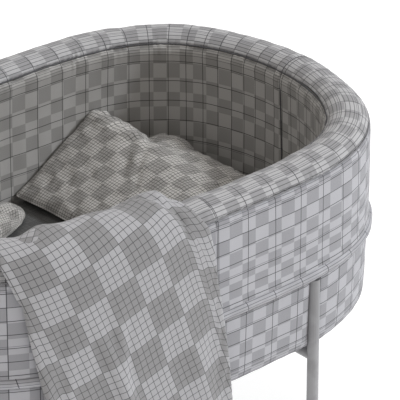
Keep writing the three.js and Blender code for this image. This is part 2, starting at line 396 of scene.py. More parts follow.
def end_stripes(s, width):
    """The wall fabric's upright pinstripes, closer together towards the end seams."""
    half = ROUND / 2
    away = (s.mod(half) - half / 2).absolute() * -1.0 + half / 2
    number = (away / STRIPE_START + 1.0).reckon("LOGARITHM", math.e) * STRIPE_COUNT
    near = ((number + 0.5).mod(1.0) - 0.5).absolute()
    distance = near * (away + STRIPE_START) / STRIPE_COUNT
    return distance.step_down(width / 2, width / 2 + LINE_SOFT)


def weave_height(x, y, pitch):
    """The crossing threads of a plain weave, 0 to 1."""
    turn = 2 * math.pi / pitch
    return (x * turn).sine() * (y * turn).sine() * 0.5 + 0.5


def finish_cloth(shader, colour, x, y, pitch, mottle=0.10):
    """Thread shading, faint mottling and a woven surface on a cloth colour."""
    threads = weave_height(x, y, pitch)
    fibre = noise(x.tree, 900.0, 2.0)
    tone = threads * 0.10 + fibre * 0.12 + noise(x.tree, 7.0, 4.0) * mottle + (0.89 - mottle / 2)
    feed(shade(colour, tone), shader.inputs["Base Color"])
    bump(shader, threads + fibre * 0.8, 0.0004)


def wall_cloth(
    name, light, dark, line, rows, row_from, edge=None, row_width=0.0013, stripe_width=0.0014, row_fade=0.90
):
    """The check fabric of the basket, with upright pinstripes and pinstripes along it, every rows."""
    material, tree, shader = new_material(name, 0.9, sheen=0.15, specular=0.25)
    s, v = cloth_place(tree)
    colour = mix(checks(s, v, CHECK, x_from=0.0305), dark, light)
    lines = [
        stripe(v, 4 * rows, row_width * 0.8, row_from + 0.004) * 0.5,
        stripe(v, rows, row_width, row_from) * row_fade,
        end_stripes(s, stripe_width) * 0.88,
    ]
    if edge is not None:
        lines.append(edge_lines(v, *edge) * 0.6)
    for strength in lines:
        colour = mix(strength, colour, line)
    finish_cloth(shader, colour, s, v, WALL_WEAVE)
    return material


def band_material(name, light, dark, line):
    """The band's cloth: no check, fine pinstripes along it and a few across."""
    material, tree, shader = new_material(name, 0.9, sheen=0.15, specular=0.25)
    s, v = cloth_place(tree)
    between = tuple((a + b) / 2 for a, b in zip(light, dark))
    colour = mix(noise(tree, 30.0).step_down(0.35, 0.75), light, between)
    colour = mix(stripe(v, 0.0066, 0.0010, 0.002) * 0.65, colour, line)
    colour = mix(stripe(s + v * 0.25, 0.0750, 0.0014) * 0.9, colour, line)
    finish_cloth(shader, colour, s, v, WALL_WEAVE)
    return material


def bedding_cloth(name, light, dark, line, cell, threads, width, strength, narrow=1.0):
    """Cloth with large checks and a grid of thin dark lines. Across it, both are closer by narrow."""
    material, tree, shader = new_material(name, 0.92, sheen=0.2, specular=0.2)
    x, y = cloth_place(tree)
    x = x / narrow
    colour = mix(checks(x, y, cell), dark, light)
    for place in (x, y):
        colour = mix(stripe(place, threads, width) * strength, colour, line)
    finish_cloth(shader, colour, x, y, 0.0016)
    return material


def plain_cloth(name, light, dark, weave):
    """A plain weave of two near tones."""
    material, tree, shader = new_material(name, 0.93, sheen=0.1, specular=0.2)
    x, y = cloth_place(tree)
    colour = mix(weave_height(x, y, weave * 1.6), dark, light)
    finish_cloth(shader, colour, x, y, weave, mottle=0.16)
    return material


def cord_cloth(name, light, dark):
    """Bias-cut fabric wound over a cord: slanting ribs."""
    material, tree, shader = new_material(name, 0.75, specular=0.3)
    s, v = cloth_place(tree)
    ribs = ((s + v * 0.7) * (2 * math.pi / 0.0035)).sine() * 0.5 + 0.5
    tone = noise(tree, 300.0) * 0.3 + 0.85
    feed(shade(mix(ribs, dark, light), tone), shader.inputs["Base Color"])
    bump(shader, ribs, 0.0003)
    return material


def powder_coat(name, colour, worn):
    """Satin powder coat: fine orange peel, faint dust and slightly rubbed patches."""
    material, tree, shader = new_material(name, 0.42)
    tone = mix(noise(tree, 18.0, 5.0).step_down(0.42, 0.62), colour, worn)
    grain = noise(tree, 1400.0, 2.0)
    feed(shade(tone, grain * 0.16 + 0.92), shader.inputs["Base Color"])
    feed(noise(tree, 40.0) * 0.22 + 0.34, shader.inputs["Roughness"])
    bump(shader, grain, 0.00015, 0.6)
    return material


def rubber(name, colour):
    """Matt rubber with moulding grain and a grey bloom."""
    material, tree, shader = new_material(name, 0.7, specular=0.3)
    bloom = tuple(2.2 * c for c in colour)
    tone = mix(noise(tree, 60.0, 4.0).step_down(0.4, 0.65), bloom, colour)
    feed(tone, shader.inputs["Base Color"])
    bump(shader, noise(tree, 1200.0, 2.0), 0.0002)
    return material


def zinc(name):
    """Zinc plate: bright spangle and fine scratches."""
    material, tree, shader = new_material(name, 0.35, metallic=1.0)
    spangle = noise(tree, 260.0, 4.0).step_down(0.35, 0.65)
    feed(mix(spangle, (0.62, 0.62, 0.60), (0.42, 0.42, 0.44)), shader.inputs["Base Color"])
    feed(noise(tree, 500.0, 2.0, (1, 1, 0.1)) * 0.3 + 0.22, shader.inputs["Roughness"])
    return material


def plywood(name):
    """Birch plywood: long pale grain."""
    material, tree, shader = new_material(name, 0.6, specular=0.3)
    grain = noise(tree, 60.0, 5.0, (0.06, 1.0, 1.0))
    tone = mix(grain.step_down(0.3, 0.7), (0.60, 0.44, 0.27), (0.46, 0.31, 0.17))
    feed(tone, shader.inputs["Base Color"])
    bump(shader, grain, 0.0003)
    return material


LINE = (0.045, 0.045, 0.052)
OUTER = dict(light=(0.448, 0.448, 0.478), dark=(0.316, 0.316, 0.338), line=LINE)
RIM = dict(light=(0.452, 0.450, 0.462), dark=(0.312, 0.310, 0.320), line=LINE)
INNER = dict(light=(0.475, 0.465, 0.455), dark=(0.335, 0.327, 0.318), line=(0.052, 0.051, 0.050))

outer_cloth = wall_cloth(
    "outer_check_cloth", **OUTER, rows=0.0303, row_from=0.007, edge=(0.7345, 0.7505, 0.0080)
)
lower_cloth = wall_cloth(
    "lower_check_cloth", **OUTER, rows=0.0303, row_from=0.012, edge=(0.6100, 0.6450, 0.0070)
)
rim_cloth = wall_cloth("rim_check_cloth", **RIM, rows=0.0093, row_from=0.003, row_fade=0.72)
inner_cloth = wall_cloth(
    "inner_check_cloth", **INNER, rows=0.0480, row_from=0.030, edge=(-0.0040, 0.0140, 0.0060)
)
band_cloth = band_material("band_striped_cloth", **OUTER)
piping_cloth = cord_cloth("piping_cord_cloth", (0.150, 0.150, 0.158), (0.060, 0.060, 0.066))
light_piping_cloth = cord_cloth("light_piping_cord_cloth", (0.300, 0.300, 0.315), (0.170, 0.170, 0.180))
thread = cord_cloth("stitching_thread", (0.36, 0.36, 0.38), (0.20, 0.20, 0.21))
lining_cloth = plain_cloth("bottom_lining_cloth", (0.17, 0.17, 0.175), (0.11, 0.11, 0.115), 0.0018)
# The sheet's own dark check, with both tones darkened further: painted shade for a shadow that falls over the
# sheet and its welts.
painted_shade_sheet_cloth = bedding_cloth(
    "mattress_sheet_painted_shade_cloth", (0.054, 0.053, 0.051), (0.037, 0.036, 0.035), (0.014, 0.014, 0.014),
    cell=0.0385, threads=0.0096, width=0.0010, strength=0.7,
)
pillow_cloth = bedding_cloth(
    "pillow_gingham", (0.500, 0.486, 0.468), (0.322, 0.312, 0.299), (0.056, 0.054, 0.052),
    cell=0.0385, threads=0.0070, width=0.0009, strength=0.85,
)
blanket_cloth = bedding_cloth(
    "blanket_windowpane", (0.424, 0.422, 0.440), (0.284, 0.281, 0.287), (0.060, 0.060, 0.066),
    cell=5 * BLANKET_CELL, threads=BLANKET_CELL, width=0.0011, strength=0.85, narrow=0.90,
)
tube_paint = powder_coat("satin_grey_powder_coat", (0.33, 0.33, 0.345), (0.27, 0.27, 0.28))
black_rubber = rubber("black_rubber", (0.022, 0.022, 0.024))
zinc_plate = zinc("zinc_plate")
birch = plywood("birch_plywood")

# What the CAD nodes are made of, by how their names start.
FINISHES = {
    "leg_stud": zinc_plate, "frame_bolt": zinc_plate, "tee_nut": zinc_plate,
    "leg": tube_paint, "cross_tube": tube_paint, "long_tube": tube_paint, "support_ring": tube_paint,
    "foot": black_rubber, "support_pad": black_rubber, "base_board": birch, "wall_core": birch,
}


def dress_frame():
    """Gives every CAD node that stays in view, or inside, its finish."""
    for name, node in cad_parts.items():
        fits = [finish for start, finish in FINISHES.items() if name.startswith(start)]
        for place in node.material_slots if fits else ():
            place.material = fits[0]


# ---- The padded basket --------------------------------------------------------------------------


def pinch(distance, width):
    """How hard fabric is pulled in at a seam: 1 on it, falling off to nothing."""
    return np.exp(-((distance / width) ** 2))


def end_groove(s, depth=0.0024, z=SEAM_TOP):
    """Fabric drawn into the upright seams at both ends of the basket."""
    away = from_end(s, z)
    return -depth * pinch(away, 0.0035) + 0.0007 * pinch(away - 0.011, 0.008)


def puckers(s, v, edge, length, seed, height=0.0009, reach=0.016):
    """Small gathers that run out from a seam at v = edge."""
    fade = np.exp(-np.abs(v - edge) / reach)
    return height * fade * waves(s, v, length, seed, lean=0.15)


def padding(s, v, stuffing, gathers):
    """How far padding stands out: [height, length, seed] waves, and the puckers at its seams."""
    out = sum(height * waves(s, v, length, seed) for height, length, seed in stuffing)
    return out + sum(puckers(s, v, *gather) for gather in gathers)


def cover_section(face):
    """Rounds the face's two ends into their seams, and adds the fabric's back."""
    run = run_along(face)
    normals = line_normals(face)
    from_seam = np.minimum(run, run[-1] - run)
    tuck = TUCK_DEPTH * np.clip(1 - from_seam / TUCK_WIDTH, 0, 1) ** 2
    back = (face - COVER_THICK * normals)[::-1]
    return face - tuck[:, None] * normals, back[2:-2:3]


def add_rim():
    degrees = np.linspace(OUTER_SEAM + 0.6, INNER_SEAM - 0.6, 54)
    face, back = cover_section(rim_point(degrees))
    length = run_along(face)[-1]

    def swell(s, v):
        gathers = [(0, 0.017, 13), (length, 0.015, 14)]
        return padding(s, v, [(0.0010, 0.20, 11), (0.0004, 0.06, 12)], gathers) + end_groove(s)

    ring("rim_bolster_cover", "rim_bolster", face, back, swell, 0.006, rim_cloth)


def add_upper_panel():
    band_top = BAND_Z + BAND_R
    flare = [[0.0545, band_top - 0.0035], [0.0525, band_top + 0.0020], [0.0508, 0.552], [0.0500, 0.575]]
    up = smooth_line(flare + [[0.0500, 0.640], [0.0500, RIM_Z]], 0.003)
    top = rim_point(np.linspace(1.5, OUTER_SEAM - 0.6, 8))
    face, _ = cover_section(np.vstack([up, top]))
    length = run_along(face)[-1]
    back = np.array([[0.036, 0.748], [0.036, band_top + 0.003]])

    def swell(s, v):
        gathers = [(0, 0.020, 23, 0.0005), (length, 0.018, 24)]
        out = padding(s, v, [(0.0009, 0.24, 21), (0.0003, 0.07, 22)], gathers)
        return out + 0.0012 * np.sin(math.pi * v / length) + end_groove(s, z=band_top + v)

    v_from = band_top - 0.6685 + 19 * CHECK  # a check's edge lies 0.664 up, as in the picture
    ring("outer_upper_cover", "outer_upper_panel", face, back, swell, v_from, outer_cloth)


def leg_groove(s, u):
    """The fabric gives way behind each leg, with a soft shoulder at both sides."""
    radius = LEG_R + 0.0008
    for leg_s in LEG_S:
        away = np.abs(np.mod(s - leg_s + ROUND / 2, ROUND) - ROUND / 2)
        behind = BAND_U - np.sqrt(np.clip(radius**2 - away**2, 0, None))
        u = np.where(away < radius, np.minimum(u, behind), u)
        u = u - np.where(away >= radius, 0.0030 * np.exp(-(away - radius) / 0.006), 0)
    return u


def add_lower_panel():
    top = BAND_Z - BAND_R
    profile = [
        [0.014, BASKET_Z - 0.0006], [0.024, BASKET_Z], [0.0325, BASKET_Z + 0.0028],
        [0.0385, BASKET_Z + 0.011], [0.0415, BASKET_Z + 0.030], [0.0440, BASKET_Z + 0.090],
        [0.0462, top - 0.0006],
    ]
    face, _ = cover_section(smooth_line(profile, 0.003))
    length = run_along(face)[-1]
    back = np.array([[0.020, top - 0.003], [0.020, 0.385], [0.016, 0.362]])

    def swell(s, v):
        gathers = [(length, 0.020, 33, 0.0007), (0.02, 0.045, 34, 0.0005, 0.022)]
        out = padding(s, v, [(0.0009, 0.22, 31), (0.0003, 0.06, 32)], gathers)
        return out + end_groove(s, z=BASKET_Z + v)

    v_from = BASKET_Z - 0.461 + 20 * CHECK  # the same for this panel, about 0.461 up
    ring(
        "outer_lower_cover", "outer_lower_panel", face, back, swell, v_from, lower_cloth, carve=leg_groove
    )


def add_band():
    """The padded roll sewn round the support ring."""
    angles = np.radians(np.linspace(-88, 88, 26))
    face = np.stack([BAND_U + BAND_R * np.cos(angles), BAND_Z + BAND_R * np.sin(angles)], axis=-1)
    inner = angles[::-3]
    back = np.stack([BAND_U + RING_R * np.cos(inner), BAND_Z + RING_R * np.sin(inner)], axis=-1)
    length = run_along(face)[-1]

    def swell(s, v):
        gathers = [(0, 0.014, 42, 0.0006, 0.008), (length, 0.014, 43, 0.0006, 0.008)]
        return 0.0008 + padding(s, v, [(0.0004, 0.09, 41)], gathers) + end_groove(s, 0.0018)

    ring("band_sleeve_cover", "band_sleeve", face, back, swell, 0.004, band_cloth)


def add_liner():
    """The padded inside wall, from the rim's inner seam down to the base board."""
    foot = BOARD_TOP + 0.0008
    top = rim_point(np.linspace(INNER_SEAM + 0.6, 178, 10))
    down = [[-0.0500, RIM_Z], [-0.0490, 0.690], [-0.0475, 0.640], [-0.0470, 0.500], [-0.0465, foot]]
    face, _ = cover_section(np.vstack([top, smooth_line(down, 0.0045)]))
    length = run_along(face)[-1]
    back = np.array([[-0.034, BOARD_TOP + 0.002], [-0.034, 0.748]])

    def swell(s, v):
        out = padding(s, v, [(0.0014, 0.22, 51), (0.0004, 0.07, 52)], [(0, 0.016, 53, 0.0009)])
        shoulder = 0.0012 * pinch(v - 0.022, 0.014)
        fade = np.clip((length - v) / 0.03, 0, 1)
        return (shoulder + out + end_groove(s, 0.0030, 0.756 - v)) * fade

    ring("inner_liner_cover", "inner_liner", face, back, swell, -0.010, inner_cloth, "inner_fabric")


def add_slab(name, points, low, high, spread=0.0, **owner):
    """A closed slab. Each row of its points runs from its lower middle, out and in again to its upper
    one, and its cloth is wider by spread for every metre below the top."""
    count, columns = points.shape[:2]
    faces, _, _ = grid(count, columns, True, False)
    here = np.arange(count) * columns
    after = np.roll(here, -1)
    middle = np.full(count, count * columns)
    lower_fan = np.stack([middle, after, here], axis=-1)
    upper_fan = np.stack([middle + 1, here + columns - 1, after + columns - 1], axis=-1)
    all_points = np.vstack([points.reshape(-1, 3), [[0, 0, low], [0, 0, high]]])
    all_faces = faces.tolist() + lower_fan.tolist() + upper_fan.tolist()
    flat = all_points[:, :2] * (1 + spread * np.clip(high - 0.01 - all_points[:, 2:], 0, None))
    return make_piece(name, all_points, all_faces, np.concatenate([flat[f] for f in all_faces]), **owner)


def add_bottom_lining():
    """The lining under the board: a flat cloth with a folded, tacked edge and some slack."""
    fractions = np.concatenate([np.linspace(0, 0.96, 40), [0.972, 0.98, 0.99, 1.0]])
    s = np.linspace(0, ROUND, 240, endpoint=False)[:, None]
    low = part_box("bottom_cover")[0][2]
    plan = wall_point(s, 0.0095, 0.0) * fractions[None, :, None]
    x, y = plan[..., 0], plan[..., 1]
    slack = 0.0014 * (np.sin(x * 23) * np.sin(y * 31 + 1) + 0.5 * np.sin(x * 61 + y * 17)) - 0.0010
    fold = 0.0008 * (fractions[None] > 0.975)
    slack = slack * (1 - fractions[None] ** 8) - fold
    bottom = np.stack([x, y, low + 0.0016 + slack], axis=-1)
    top = np.stack([x, y, low + 0.0048 + 0 * x], axis=-1)[:, ::-1]
    add_slab(
        "bottom_lining", np.concatenate([bottom[:, 1:], top[:, :-1]], axis=1), low + 0.0006, low + 0.0048,
        body="crib", material=lining_cloth, slot="bottom_fabric", node="bottom_cover",
    )


# ---- Piping and stitching -----------------------------------------------------------------------


def all_round(side, over, sides):
    """Directions all round each point, from two that are square to each other."""
    angles = np.linspace(0, 2 * math.pi, sides, endpoint=False)[:, None]
    return side[:, None] * np.cos(angles) + over[:, None] * np.sin(angles)


def add_tube(name, path, radius, sides=8, closed=True, **owner):
    """A cord along a path of points, which is a closed loop or has rounded ends."""
    if closed:
        tangent = np.roll(path, -1, axis=0) - np.roll(path, 1, axis=0)
    else:
        tangent = np.gradient(path, axis=0)
    tangent = unit(tangent)
    side = unit(np.cross(tangent, [0, 0, 1.0] if closed else [0, 1.0, 0]))
    width = np.full(len(path), radius)
    if not closed:
        width[[0, -1]] *= 0.3
        width[[1, -2]] *= 0.8
    points = path[:, None] + width[:, None, None] * all_round(side, np.cross(side, tangent), sides)
    faces, rows, columns = grid(len(path), sides, closed, True)
    run = run_along(path)
    run = np.append(run, run[-1] + 0.004)
    cloth = np.stack([run[rows], columns * (2 * math.pi * radius / sides)], axis=-1).reshape(-1, 2)
    faces = faces.tolist()
    if not closed:
        last = len(path) * sides - 1
        faces += [list(range(sides)), [last - k for k in range(sides)]]
        cloth = np.vstack([cloth, np.zeros((2 * sides, 2))])
    return make_piece(name, points, faces, cloth, **owner)


def add_rim_pipings():
    """The dark cords in the rim's outer and inner seam."""
    s = np.linspace(0, ROUND, 900, endpoint=False)
    cords = (("outer", OUTER_SEAM, 61, light_piping_cloth), ("inner", INNER_SEAM, 62, piping_cloth))
    for name, seam, seed, cloth in cords:
        u, z = rim_point(seam, -0.0004)
        wander = 0.0003 * waves(s, 0, 0.05, seed)
        add_tube(
            f"rim_piping_{name}_cord", wall_point(s, u + wander, z + 0.5 * wander), CORD_R, 10,
            body="crib", material=cloth, slot="piping", node=f"rim_piping_{name}",
        )


def add_end_seams():
    """The dark cord in the upright seam at each end: across the rim, and down inside and outside."""
    heights = np.linspace(RIM_Z - 0.01, MATTRESS_TOP - 0.02, 40)
    inside = np.stack([-0.0484 + 0.0020 * (RIM_Z - heights) / 0.3, heights], axis=-1)
    heights = np.linspace(RIM_Z, BAND_Z + BAND_R + 0.003, 40)
    lines = {
        "rim": rim_point(np.linspace(OUTER_SEAM + 3, INNER_SEAM - 3, 46), -0.0002),
        "inside": np.vstack([rim_point(np.linspace(INNER_SEAM + 3, 180, 12), -0.0016), inside]),
        "outside": np.stack([np.full(40, WALL_HALF - 0.0012), heights], axis=-1),
    }
    for end, s in (("right", 0.0), ("left", ROUND / 2)):
        for part, line in lines.items():
            u, z = line.T
            path = wall_point(s + end_seam_s(np.minimum(z, SEAM_TOP)), u, z)
            name = f"end_seam_{end}_{part}"
            add_tube(name, path, 0.0013, closed=False, body="crib", material=piping_cloth, slot="piping")


def add_stitches(name, degrees, grow, count=680, long=0.0034, radius=0.00045):
    """A row of stitches round the rim, at an angle of its section, which stand out by grow."""
    s = np.arange(count) / count * ROUND
    begin = wall_point(s, *rim_point(degrees, grow))
    end = wall_point(s + 0.98 / count * ROUND, *rim_point(degrees, grow))
    along = unit(end - begin)
    out = wall_point(s, *rim_point(degrees, 0.01)) - begin
    out = unit(out - np.sum(out * along, axis=1, keepdims=True) * along)
    middle = (begin + end) / 2
    sides = 6
    directions = all_round(np.cross(along, out), out, sides)
    profile = [(-1.0, 0.35, -1.3), (-0.72, 0.9, -0.2), (0.0, 1.0, 0.25), (0.72, 0.9, -0.2), (1.0, 0.35, -1.3)]
    rings = []
    for t, thick, rise in profile:
        centre = middle + along * (t * long / 2) + out * (rise * radius)
        rings.append(centre[:, None] + directions * radius * thick)
    one, _, _ = grid(len(profile), sides, False, True)
    each = len(profile) * sides
    faces = []
    for first in range(0, count * each, each):
        faces += (one[:, ::-1] + first).tolist()
        faces.append([first + k for k in range(sides)])
        faces.append([first + each - 1 - k for k in range(sides)])
    cloth = np.tile([[0.0, 0.0], [0.0017, 0.0]], (sum(map(len, faces)) // 2, 1))
    make_piece(name, np.stack(rings, axis=1), faces, cloth, "crib", thread, "outer_fabric")


def add_wall_stitching():
    """Topstitching beside the rim's two seams."""
    add_stitches("rim_outer_stitching", OUTER_SEAM + 6.5, 0.0004)
    add_stitches("rim_inner_stitching", INNER_SEAM - 6.5, 0.0004)
    add_stitches("liner_stitching", INNER_SEAM + 8, 0.0004)
    add_stitches("upper_panel_stitching", OUTER_SEAM - 8, 0.0003)


# ---- Soft simulation ----------------------------------------------------------------------------


def read_points(mesh):
    flat = np.empty(len(mesh.vertices) * 3)
    mesh.vertices.foreach_get("co", flat)
    return flat.reshape(-1, 3)


def write_points(mesh, points):
    mesh.vertices.foreach_set("co", np.asarray(points).ravel())
    mesh.update()


def let_settle(piece, frames, cap, pressure=0.0, gravity=0.0, shrink=0.0, pins=None, stiff=15.0, bending=0.5):
    """Runs a cloth simulation on the piece and keeps its result, no point moving further than cap."""
    scene = bpy.context.scene
    before = read_points(piece.data)
    modifier = piece.modifiers.new("settle", "CLOTH")
    settings = modifier.settings
    settings.quality = 5
    settings.mass = 0.15
    settings.tension_stiffness = stiff
    settings.compression_stiffness = stiff
    settings.shear_stiffness = stiff / 3
    settings.bending_stiffness = bending
    settings.air_damping = 2.0
    settings.effector_weights.gravity = gravity
    settings.shrink_min = shrink
    settings.use_pressure = pressure > 0
    settings.uniform_pressure_force = pressure
    if pins is not None:
        group = piece.vertex_groups.new(name="pins")
        for index, weight in enumerate(pins):
            if weight > 0:
                group.add([index], float(weight), "REPLACE")
        settings.vertex_group_mass = "pins"
    modifier.collision_settings.use_collision = False
    modifier.point_cache.frame_start = 1
    modifier.point_cache.frame_end = frames
    for number in range(1, frames + 1):
        scene.frame_set(number)
    shown = piece.evaluated_get(bpy.context.evaluated_depsgraph_get())
    move = read_points(shown.data) - before
    scene.frame_set(1)
    piece.modifiers.remove(modifier)
    piece.vertex_groups.clear()
    size = np.linalg.norm(move, axis=1, keepdims=True)
    write_points(piece.data, before + move / np.maximum(size, 1e-9) * cap * np.tanh(size / cap))


# ---- Mattress and pillows -----------------------------------------------------------------------


def add_mattress():
    """A foam mattress in a fitted sheet: crowned top, rounded edges, soft wrinkles round the edge."""
    low = BOARD_TOP + 0.0012
    high = MATTRESS_TOP
    radius = 0.020
    s = np.linspace(0, ROUND, 300, endpoint=False)[:, None]
    angles = np.radians(np.linspace(-90, 90, 13))
    side_u = MATTRESS_U - 0.002 - radius + radius * np.cos(angles)
    side_z = np.where(angles < 0, low + radius, high - radius) + radius * np.sin(angles)
    side = smooth_line(np.stack([side_u, side_z], axis=-1), 0.006)
    wall = wall_point(s, side[None, :, 0], side[None, :, 1])
    wall[..., 2] += 0.00048 * waves(s, side[None, :, 1], 0.06, 71, lean=0.8)
    inner = np.linspace(1, 0.02, 46)[None, 1:]
    top = wall[:, -1:] * inner[..., None]
    x, y = top[..., 0], top[..., 1]
    drag = 0.0022 * waves(s, 0, 0.055, 72) * np.exp((inner - 1) / 0.07)
    rumple = 0.0010 * (np.sin(x * 37 + 2 * np.sin(y * 19)) * np.sin(y * 41 + np.sin(x * 23)))
    top[..., 2] = high + 0.0015 * (1 - inner**3) - 0.0016 + (drag + rumple) * 0.7
    bottom = wall[:, :1] * inner[:, ::-1, None]
    bottom[..., 2] = low
    # The sheet and its welts are darker than their cloth: painted shade.
    owner = dict(body="mattress", material=painted_shade_sheet_cloth, slot="sheet_fabric")
    points = np.concatenate([bottom, wall, top], axis=1)
    mattress = add_slab("mattress_in_sheet", points, low, high, 1.5, node="mattress", **owner)
    s = np.linspace(0, ROUND, 700, endpoint=False)
    for name, z in (("upper", high - 0.013), ("lower", low + 0.013)):
        path = wall_point(s, MATTRESS_U - 0.0030 + 0.0004 * waves(s, 0, 0.05, 73), z)
        add_tube(f"mattress_welt_{name}", path, 0.0022, **owner)


def smooth_step(value, low, high):
    t = np.clip((value - low) / (high - low), 0, 1)
    return t * t * (3 - 2 * t)


def wall_coordinates(points):
    """The s and u of points, [n, 3]."""
    steps = slice(None, -1, 25)
    plan = np.stack([OVAL_X[steps], OVAL_Y[steps]], axis=-1)
    runs = RUN[steps]
    nearest = []
    for part in np.array_split(points[:, :2], max(1, len(points) // 4000)):
        away = part[:, None] - plan[None]
        nearest.append(np.argmin(np.einsum("ijk,ijk->ij", away, away), axis=1))
    nearest = np.concatenate(nearest)
    s = runs[nearest]
    middle = wall_point(s, 0.0, 0.0)[:, :2]
    normal = wall_point(s, 1.0, 0.0)[:, :2] - middle
    offset = points[:, :2] - middle
    along = normal[:, 1] * -offset[:, 0] + normal[:, 0] * offset[:, 1]
    return s + along, np.einsum("ij,ij->i", offset, normal)


def keep_inside(points, limit=-0.0530):
    """Moves points that have got into the inside of the wall back towards the middle."""
    s, u = wall_coordinates(points)
    moved = wall_point(s, np.minimum(u, limit), points[:, 2])
    return np.where((u > limit)[:, None], moved, points)


def lay_curve(points, count):
    """A smooth curve through the points with count points, evenly spread over their numbers."""
    ends = with_ends(points)
    place = np.linspace(0, len(points) - 1, count)
    first = np.minimum(place.astype(int), len(points) - 2)
    t = (place - first)[:, None]
    return catmull_rom(ends[first], ends[first + 1], ends[first + 2], ends[first + 3], t)


def arc_place(points, axis):
    """The distance along each line of a grid of points, from its first point."""
    steps = np.linalg.norm(np.diff(points, axis=axis), axis=2)
    start = np.zeros_like(np.take(steps, [0], axis=axis))
    return np.concatenate([start, np.cumsum(steps, axis=axis)], axis=axis)


def crease_depth(points, line, depth, width):
    """How far a fold along a line of [x, y] places draws points down."""
    plan = points[..., :2]
    nearest = np.full(plan.shape[:2], np.inf)
    for start, end in zip(np.array(line), np.array(line[1:])):
        span = end - start
        part = np.clip(((plan - start) @ span) / (span @ span), 0, 1)
        nearest = np.minimum(nearest, np.linalg.norm(plan - start - part[..., None] * span, axis=2))
    return depth * pinch(nearest, width)


def add_pillow(name, node, far, middle, near, up, down, seed, columns=72, creases=()):
    """A pillow sewn from two panels. far, middle and near are lines of places along it, which give
    the sheet that its sewn edge lies in, and up and down are how thick it is above and below."""
    rows = round(columns * 1.6)
    near, middle, far = (lay_curve(line, rows)[:, None] for line in (near, middle, far))
    b = np.linspace(0, 1, columns)[None, :, None]
    sheet = near * (1 - b) * (1 - 2 * b) + middle * 4 * b * (1 - b) + far * b * (2 * b - 1)
    normal = unit(np.cross(np.gradient(sheet, axis=0), np.gradient(sheet, axis=1)))
    normal *= np.sign(normal[..., 2:].mean())
    x = arc_place(sheet, 0)
    y = arc_place(sheet, 1)
    a = x / x[-1:]
    b = b[..., 0] + 0 * a
    full = np.clip(1 - (2 * a - 1) ** 4, 0, 1) ** 0.55 * np.clip(1 - (2 * b - 1) ** 4, 0, 1) ** 0.55
    dice = np.random.RandomState(seed)
    crumple = 0
    for _ in range(16):
        turn = dice.uniform(0, 2 * math.pi)
        length = dice.uniform(0.030, 0.090)
        phase = dice.uniform(0, 6.28)
        wave = np.sin(2 * math.pi * (math.cos(turn) * x + math.sin(turn) * y) / length + phase)
        crumple = crumple + (1 - np.abs(wave)) - 0.36
    crumple = PILLOW_CRUMPLE * crumple
    for line, depth, width in creases:
        crumple = crumple - crease_depth(sheet, line, depth, width)
    edge = np.minimum(np.minimum(a, 1 - a) * x.max(), np.minimum(b, 1 - b) * y.max())
    gather = 0.0016 * np.sin((x + y) * 2 * math.pi / 0.019 + 3 * a) * np.exp(-edge / 0.012)
    top = sheet + normal * (up * full + (crumple + gather) * np.minimum(1, edge / 0.02))[..., None]
    bottom = sheet.copy()
    bottom[..., 2] -= np.clip(sheet[..., 2] - MATTRESS_TOP - PILLOW_DIP, 0.0, down) * full**0.6
    bottom[..., 2] += 0.4 * crumple
    count = rows * columns
    loop = border_loop(rows, columns)
    free = np.full(count, True)
    free[loop] = False
    below = np.arange(count)
    below[free] = count + np.arange(free.sum())
    faces, _, _ = grid(rows, columns)
    points = np.vstack([top.reshape(-1, 3), bottom.reshape(-1, 3)[free]])
    place = np.stack([x, y], axis=-1).reshape(-1, 2)[faces]
    cloth = np.vstack([place, place[:, ::-1]])
    owner = dict(body=node, material=pillow_cloth, slot="pillow_fabric")
    pillow = make_piece(name, points, np.vstack([faces, below[faces][:, ::-1]]), cloth, node=node, **owner)
    fix_facing(pillow)
    return pillow, loop, owner


def fix_facing(piece):
    """Turns all faces outwards if the mesh was made inside out."""
    shell = bmesh.new()
    shell.from_mesh(piece.data)
    if shell.calc_volume(signed=True) < 0:
        piece.data.flip_normals()
    shell.free()


def border_loop(rows, columns):
    """The grid's border vertices in order."""
    index = np.arange(rows * columns).reshape(rows, columns)
    sides = [index[0], index[1:, -1], index[-1, -2::-1], index[-2:0:-1, 0]]
    return np.concatenate(sides).tolist()


def finish_pillow(pillow, loop, owner, cap, pressure):
    """Puffs the pillow up, keeps it off the wall and the mattress, and sews a fine cord in its seam."""
    let_settle(pillow, 16, cap, pressure=pressure, shrink=-0.03)
    points = read_points(pillow.data)
    points[:, 2] = np.maximum(points[:, 2], MATTRESS_TOP + PILLOW_GAP)
    write_points(pillow.data, keep_inside(points))
    closed = read_points(pillow.data)[loop + loop[:1]]
    run = run_along(closed)
    marks = np.linspace(0, run[-1], round(run[-1] / 0.004), endpoint=False)
    path = np.stack([np.interp(marks, run, closed[:, k]) for k in range(3)], axis=-1)
    for _ in range(3):
        path = 0.25 * np.roll(path, 1, axis=0) + 0.5 * path + 0.25 * np.roll(path, -1, axis=0)
    add_tube(f"{pillow.name}_seam", path, 0.0016, **owner)


